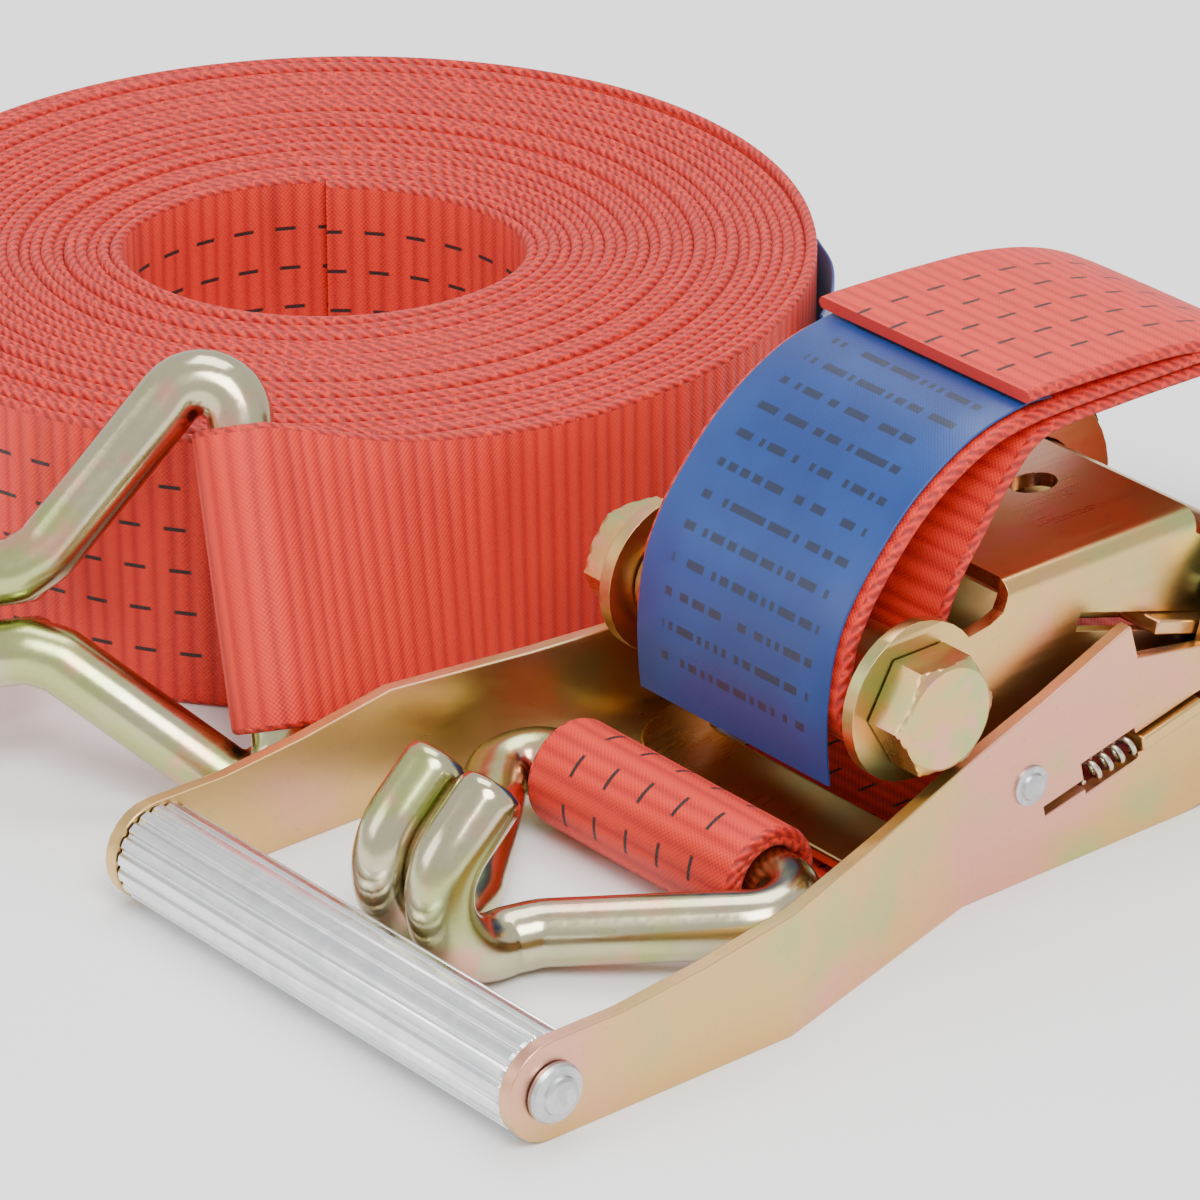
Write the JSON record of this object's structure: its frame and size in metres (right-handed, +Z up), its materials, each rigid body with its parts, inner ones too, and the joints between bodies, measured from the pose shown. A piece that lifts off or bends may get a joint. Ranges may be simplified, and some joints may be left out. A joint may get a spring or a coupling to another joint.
{
  "type": "ratchet tie down",
  "caption": "Ratchet tie down for wide webbing: folding lever handle, toothed spindle, pawls, short strap with hook, and a coiled long strap with its own hook.",
  "frame": {"origin": "middle of the outline's footprint, on the surface the part lies on", "axes": "+X from the handle's grip towards the spindle, +Y across the ratchet towards the coil, +Z up"},
  "size_m": [0.2306, 0.2858, 0.0762],
  "materials": {
    "zinc_plate": "yellow zinc plating, satin, with pink and green tints",
    "zinc_wire": "yellow zinc plating, polished round wire",
    "zinc_bolt": "yellow zinc plating, satin",
    "aluminium": "extruded, bright",
    "spring_steel": "drawn wire",
    "webbing": "woven polyester, orange red, with rows of black dashes on one face",
    "label": "smooth blue label cloth"
  },
  "bodies": {
    "handle": {"handle_plate_near": "zinc_plate", "handle_plate_far": "zinc_plate", "grip_sleeve": "aluminium", "grip_rod": "aluminium", "pawl_rivet_near": "aluminium", "pawl_rivet_far": "aluminium", "drive_spring_near": "spring_steel", "drive_spring_far": "spring_steel", "short_strap_run": "webbing", "short_strap_roll": "webbing", "short_strap_arch": "webbing"},
    "frame": {"frame": "zinc_plate", "strap_bolt": "zinc_bolt", "strap_nut": "zinc_bolt", "bolt_sleeve": "zinc_bolt", "short_strap_eye": "webbing", "strap_label": "label", "lock_spring": "spring_steel"},
    "spindle": {"spindle_half_upper": "zinc_bolt", "spindle_half_lower": "zinc_bolt", "ratchet_wheel_near": "zinc_bolt", "ratchet_wheel_far": "zinc_bolt", "spindle_washer_near": "zinc_bolt", "spindle_washer_far": "zinc_bolt", "split_pin_near": "spring_steel", "split_pin_far": "spring_steel"},
    "lock_pawl": {"lock_pawl": "zinc_plate"},
    "drive_pawl": {"drive_pawl": "zinc_plate"},
    "hook_short": {"hook_short": "zinc_wire"},
    "long_strap": {"long_strap_coil": "webbing", "long_strap_eye": "webbing", "coil_label": "label"},
    "hook_long": {"hook_long": "zinc_wire"}
  },
  "joints": [
    {"name": "frame_hinge", "type": "hinge", "parent": "handle", "child": "frame", "pos_m": [0.06423, -0.0896, 0.025], "axis": [0, 1, 0], "range_deg": [0, 120], "deforming": ["short_strap_arch"]},
    {"name": "spindle_spin", "type": "hinge", "parent": "frame", "child": "spindle", "pos_m": [0.06423, -0.0896, 0.025], "axis": [0, 1, 0], "continuous": true},
    {"name": "lock_slide", "type": "slide", "parent": "frame", "child": "lock_pawl", "axis": [-0.9563, 0, 0.2924], "range_m": [0, 0.006], "stiffness_N_per_m": 600, "springref_m": -0.005, "deforming": ["lock_spring"]},
    {"name": "drive_slide", "type": "slide", "parent": "handle", "child": "drive_pawl", "axis": [-0.9763, 0, -0.2164], "range_m": [0, 0.006], "stiffness_N_per_m": 600, "springref_m": -0.005, "deforming": ["drive_spring_near", "drive_spring_far"]},
    {"name": "hook_short_hinge", "type": "hinge", "parent": "handle", "child": "hook_short", "pos_m": [-0.04027, -0.0896, 0.01], "axis": [0, 1, 0], "range_deg": [0, 60]},
    {"name": "long_strap_lift", "type": "slide", "parent": "handle", "child": "long_strap", "axis": [0, 0, 1], "range_m": [0, 0.15]},
    {"name": "hook_long_hinge", "type": "hinge", "parent": "long_strap", "child": "hook_long", "pos_m": [-0.06728, -0.0186, 0.0358], "axis": [0.1771, 0.4192, 0.8904], "range_deg": [0, 35]}
  ]
}
